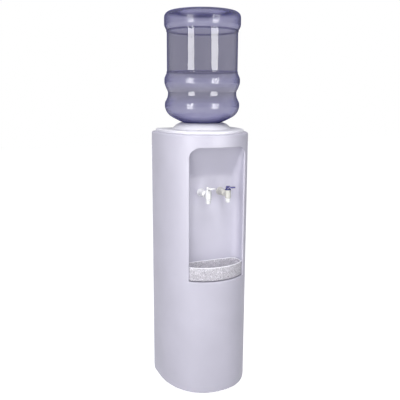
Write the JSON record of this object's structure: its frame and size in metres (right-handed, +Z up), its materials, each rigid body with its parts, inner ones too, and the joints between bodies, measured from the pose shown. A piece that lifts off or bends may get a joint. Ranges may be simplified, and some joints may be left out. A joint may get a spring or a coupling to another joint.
{
  "type": "bottled water dispenser",
  "caption": "Floor-standing bottled water dispenser: curved cabinet with a dispensing alcove, push taps, pull-out drip tray and an inverted water bottle in a collar on top.",
  "frame": {"origin": "middle of the bounding box, on the floor under the feet", "axes": "+Z up, the front with the taps faces -Y, +X to the right of a person facing it"},
  "size_m": [0.332, 0.33, 1.3638],
  "materials": {
    "cabinet_plastic": "satin lavender-white ABS",
    "cover_plastic": "satin white ABS",
    "liner_plastic": "satin lavender-grey ABS",
    "tray_plastic": "speckled granite-grey ABS",
    "tap_plastic": "glossy white",
    "navy_plastic": "glossy navy blue",
    "bottle_plastic": "clear blue-violet polycarbonate",
    "cap_plastic": "pale blue polyethylene",
    "stainless": "brushed stainless steel",
    "copper": "drawn copper tube",
    "black_steel": "black enamel",
    "galvanised_steel": "zinc-coated sheet",
    "foam": "expanded polystyrene",
    "silicone": "translucent white silicone",
    "rubber": "black rubber",
    "black_plastic": "satin black"
  },
  "bodies": {
    "root": {"alcove_liner": "liner_plastic", "base_pan": "galvanised_steel", "base_plinth": "cabinet_plastic", "cabinet_shell": "cabinet_plastic", "capillary_tube": "copper", "cold_tank": "stainless", "compressor": "black_steel", "compressor_grommet_front_left": "rubber", "compressor_grommet_front_right": "rubber", "compressor_grommet_rear_left": "rubber", "compressor_grommet_rear_right": "rubber", "condenser_bracket_left": "galvanised_steel", "condenser_bracket_right": "galvanised_steel", "condenser_tube": "black_steel", "condenser_wires": "black_steel", "discharge_line": "copper", "drain_fitting": "tap_plastic", "drain_hose": "silicone", "evaporator_coil": "copper", "feed_hose_left": "silicone", "feed_hose_right": "silicone", "filter_drier": "copper", "foot_front_left": "rubber", "foot_front_right": "rubber", "foot_rear_left": "rubber", "foot_rear_right": "rubber", "insulation_left": "foam", "insulation_right": "foam", "power_inlet": "black_plastic", "rear_panel": "galvanised_steel", "relay_cover": "black_plastic", "suction_line": "copper", "tank_baffle": "tap_plastic", "tank_gasket": "silicone", "tank_shelf": "galvanised_steel", "tap_body_left": "tap_plastic", "tap_body_right": "tap_plastic", "tap_bonnet_left": "tap_plastic", "tap_bonnet_right": "tap_plastic", "tap_nut_left": "tap_plastic", "tap_nut_right": "tap_plastic", "tap_spout_left": "tap_plastic", "tap_spout_right": "tap_plastic", "tap_washer_left": "rubber", "tap_washer_right": "rubber", "thermostat": "black_plastic", "top_cover": "cover_plastic"},
    "collar": {"bottle_collar": "cover_plastic"},
    "bottle": {"water_bottle": "bottle_plastic", "bottle_cap": "cap_plastic"},
    "tray": {"drip_tray": "tray_plastic"},
    "grille": {"drip_grille": "tray_plastic"},
    "lever_left": {"tap_lever_left": "tap_plastic"},
    "lever_right": {"tap_lever_right": "navy_plastic"},
    "plunger_left": {"tap_plunger_left": "silicone"},
    "plunger_right": {"tap_plunger_right": "silicone"},
    "knob": {"thermostat_knob": "black_plastic"},
    "rocker": {"power_rocker": "black_plastic"},
    "drain_cap": {"drain_cap": "tap_plastic"}
  },
  "joints": [
    {"name": "collar_lift", "type": "slide", "parent": "root", "child": "collar", "axis": [0, 0, 1], "range_m": [0, 0.06]},
    {"name": "bottle_lift", "type": "slide", "parent": "collar", "child": "bottle", "axis": [0, 0, 1], "range_m": [0, 0.12]},
    {"name": "tray_pull", "type": "slide", "parent": "root", "child": "tray", "axis": [0, -1, 0], "range_m": [0, 0.12]},
    {"name": "grille_lift", "type": "slide", "parent": "tray", "child": "grille", "axis": [0, 0, 1], "range_m": [0, 0.04]},
    {"name": "lever_left_press", "type": "hinge", "parent": "root", "child": "lever_left", "pos_m": [-0.0375, -0.133, 0.7623], "axis": [1, 0, 0], "range_deg": [0, 20], "stiffness_Nm_per_rad": 0.08, "springref_deg": -5.73},
    {"name": "plunger_left_travel", "type": "slide", "parent": "root", "child": "plunger_left", "axis": [0, 0, 1], "range_m": [0, 0.003]},
    {"name": "lever_right_press", "type": "hinge", "parent": "root", "child": "lever_right", "pos_m": [0.0375, -0.133, 0.7623], "axis": [1, 0, 0], "range_deg": [0, 20], "stiffness_Nm_per_rad": 0.08, "springref_deg": -5.73},
    {"name": "plunger_right_travel", "type": "slide", "parent": "root", "child": "plunger_right", "axis": [0, 0, 1], "range_m": [0, 0.003]},
    {"name": "thermostat_turn", "type": "hinge", "parent": "root", "child": "knob", "pos_m": [0.06, 0.1207, 0.1675], "axis": [0, 1, 0], "range_deg": [0, 270]},
    {"name": "rocker_tilt", "type": "hinge", "parent": "root", "child": "rocker", "pos_m": [-0.07, 0.1215, 0.1315], "axis": [-1, 0, 0], "range_deg": [0, 16]},
    {"name": "drain_cap_pull", "type": "slide", "parent": "root", "child": "drain_cap", "axis": [0, 1, 0], "range_m": [0, 0.03]}
  ],
  "couplings": [
    {"joint": "plunger_left_travel", "follows": "lever_left_press", "m_per_rad": 0.008586},
    {"joint": "plunger_right_travel", "follows": "lever_right_press", "m_per_rad": 0.008586}
  ]
}
